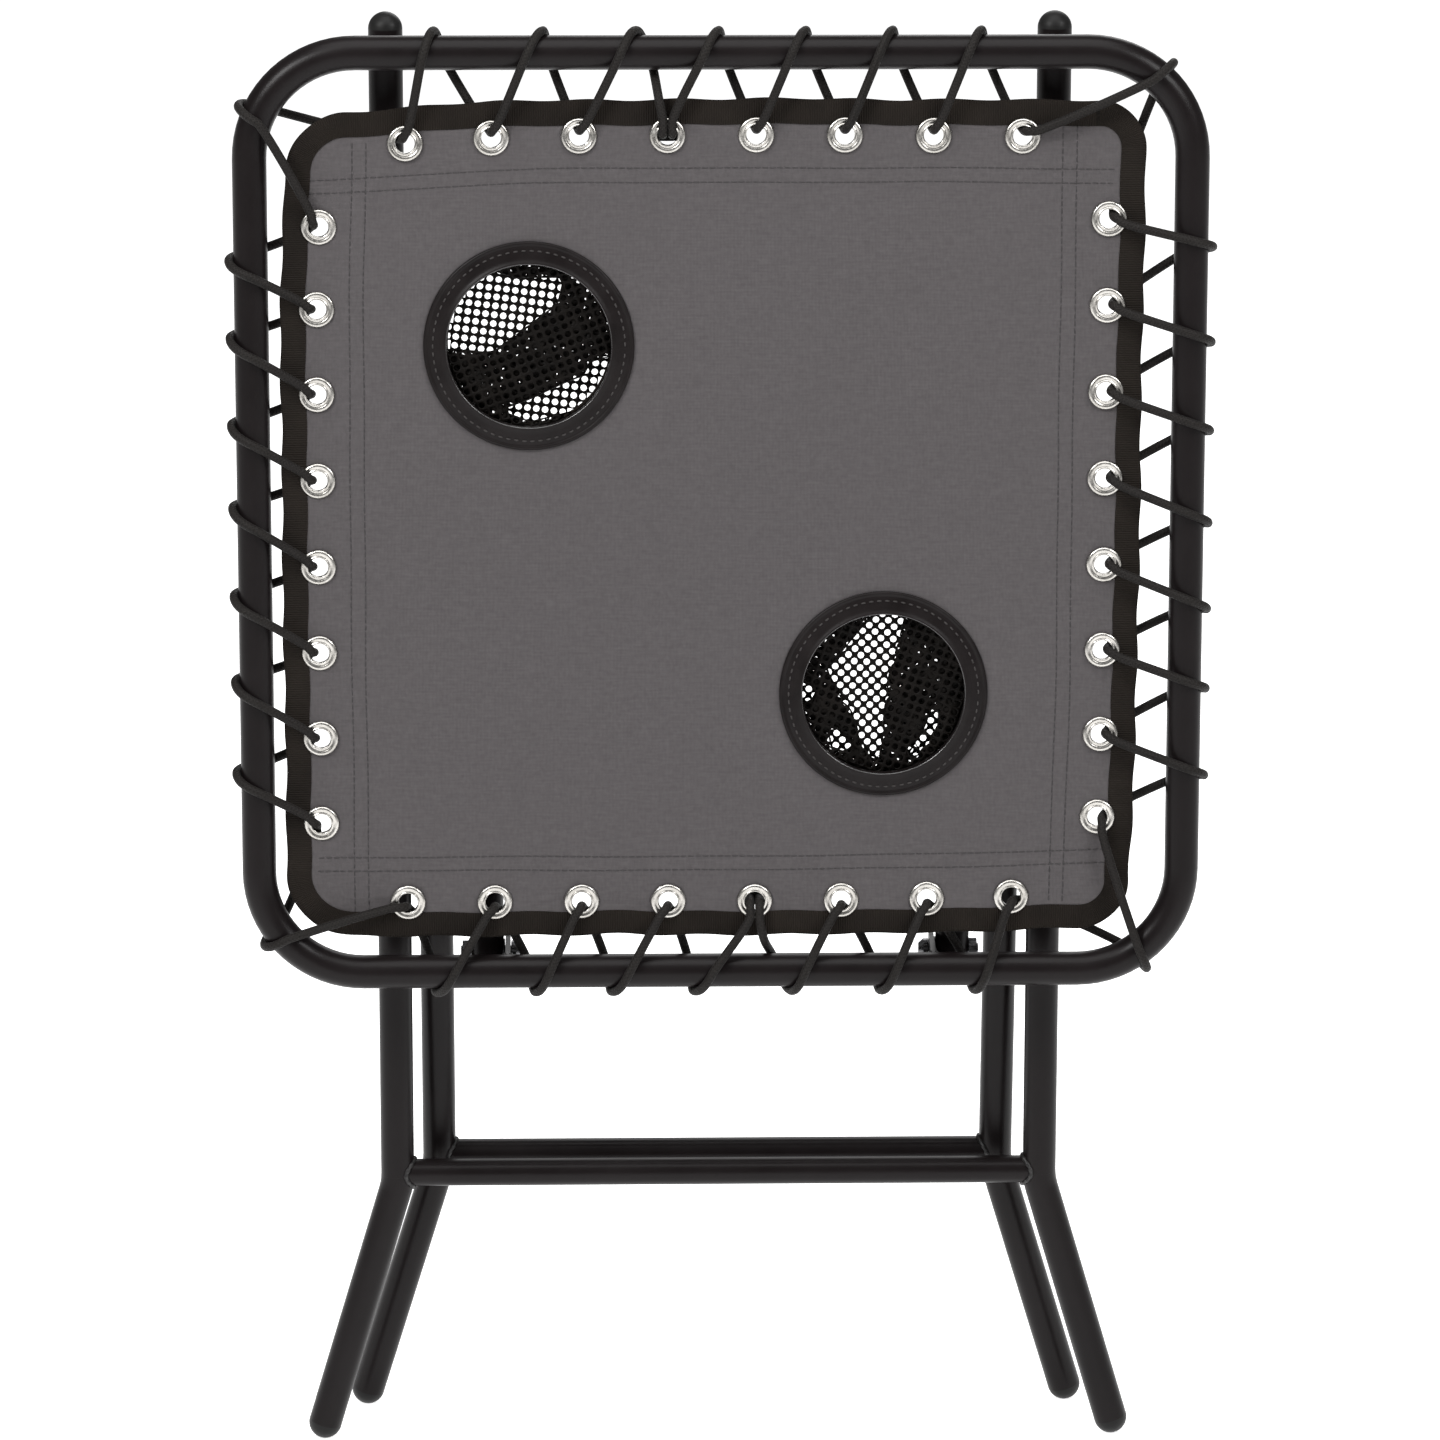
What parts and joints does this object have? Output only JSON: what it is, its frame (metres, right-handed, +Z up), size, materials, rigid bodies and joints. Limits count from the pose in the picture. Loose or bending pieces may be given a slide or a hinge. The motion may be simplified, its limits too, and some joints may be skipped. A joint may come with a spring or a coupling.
{
  "type": "folding side table",
  "caption": "Folding side table: fabric top laced with elastic cord into a square tube frame, ringed mesh cup holders, crossing tube legs and a brace, folded and standing.",
  "frame": {"origin": "on the floor, under the middle of the folded table's box", "axes": "+Z up along the folded table, -Y towards the front, where the table top faces, and +X to the right as seen from the front"},
  "size_m": [0.4892, 0.0913, 0.7398],
  "materials": {
    "powder_coat": "satin black powder coat",
    "cap_plastic": "fine satin moulding",
    "zinc_plate": "dark zinc plate",
    "washer_nylon": "plain black nylon",
    "eyelet_nickel": "satin nickel plate",
    "elastic_cord": "braided polyester cover",
    "panel_fabric": "fine plain weave, grey",
    "binding_webbing": "ribbed black tape",
    "clamp_plastic": "satin",
    "ring_vinyl": "soft black vinyl, semi-gloss",
    "pocket_mesh": "open black knitted mesh"
  },
  "bodies": {
    "outer_legs": {"outer_leg_left": "powder_coat", "outer_leg_right": "powder_coat", "outer_crossbar": "powder_coat", "outer_end_caps": "cap_plastic", "outer_foot_caps": "cap_plastic", "pivot_bolts": "zinc_plate", "pivot_nuts": "zinc_plate", "pivot_spacers": "washer_nylon", "hinge_bolts": "zinc_plate", "hinge_nuts": "zinc_plate", "hinge_washers": "washer_nylon"},
    "inner_legs": {"inner_leg_left": "powder_coat", "inner_leg_right": "powder_coat", "inner_crossbar": "powder_coat", "inner_end_caps": "cap_plastic", "inner_foot_caps": "cap_plastic", "link_bolts": "zinc_plate", "link_spacers": "washer_nylon"},
    "table_top": {"top_frame": "powder_coat", "hinge_tabs": "powder_coat", "link_tabs": "powder_coat", "fabric_panel": "panel_fabric", "edge_binding": "binding_webbing", "eyelets_top": "eyelet_nickel", "eyelets_right": "eyelet_nickel", "eyelets_bottom": "eyelet_nickel", "eyelets_left": "eyelet_nickel", "lacing_right": "elastic_cord", "lacing_left": "elastic_cord", "cord_clamps": "clamp_plastic", "cup_ring_upper": "ring_vinyl", "cup_ring_lower": "ring_vinyl", "mesh_pocket_upper": "pocket_mesh", "mesh_pocket_lower": "pocket_mesh"},
    "brace": {"brace_tube_left": "powder_coat", "brace_tube_right": "powder_coat", "brace_crossbar": "powder_coat", "brace_end_caps": "cap_plastic", "brace_foot_caps": "cap_plastic", "brace_bolts": "zinc_plate", "brace_nuts": "zinc_plate", "brace_washers": "washer_nylon", "link_nuts": "zinc_plate"}
  },
  "joints": [
    {"name": "leg_scissor", "type": "hinge", "parent": "outer_legs", "child": "inner_legs", "pos_m": [0, 0.01486, 0.373], "axis": [1, 0, 0], "range_deg": [0, 75]},
    {"name": "tabletop_hinge", "type": "hinge", "parent": "outer_legs", "child": "table_top", "pos_m": [0, 0.03599, 0.71835], "axis": [-1, 0, 0], "range_deg": [0, 47.5]},
    {"name": "brace_pivot", "type": "hinge", "parent": "table_top", "child": "brace", "pos_m": [0, -0.00519, 0.26492], "axis": [-1, 0, 0], "range_deg": [0, 50.8]}
  ],
  "couplings": [
    {"joint": "tabletop_hinge", "follows": "leg_scissor", "ratio": 0.63333},
    {"joint": "brace_pivot", "follows": "leg_scissor", "ratio": 0.67733}
  ]
}
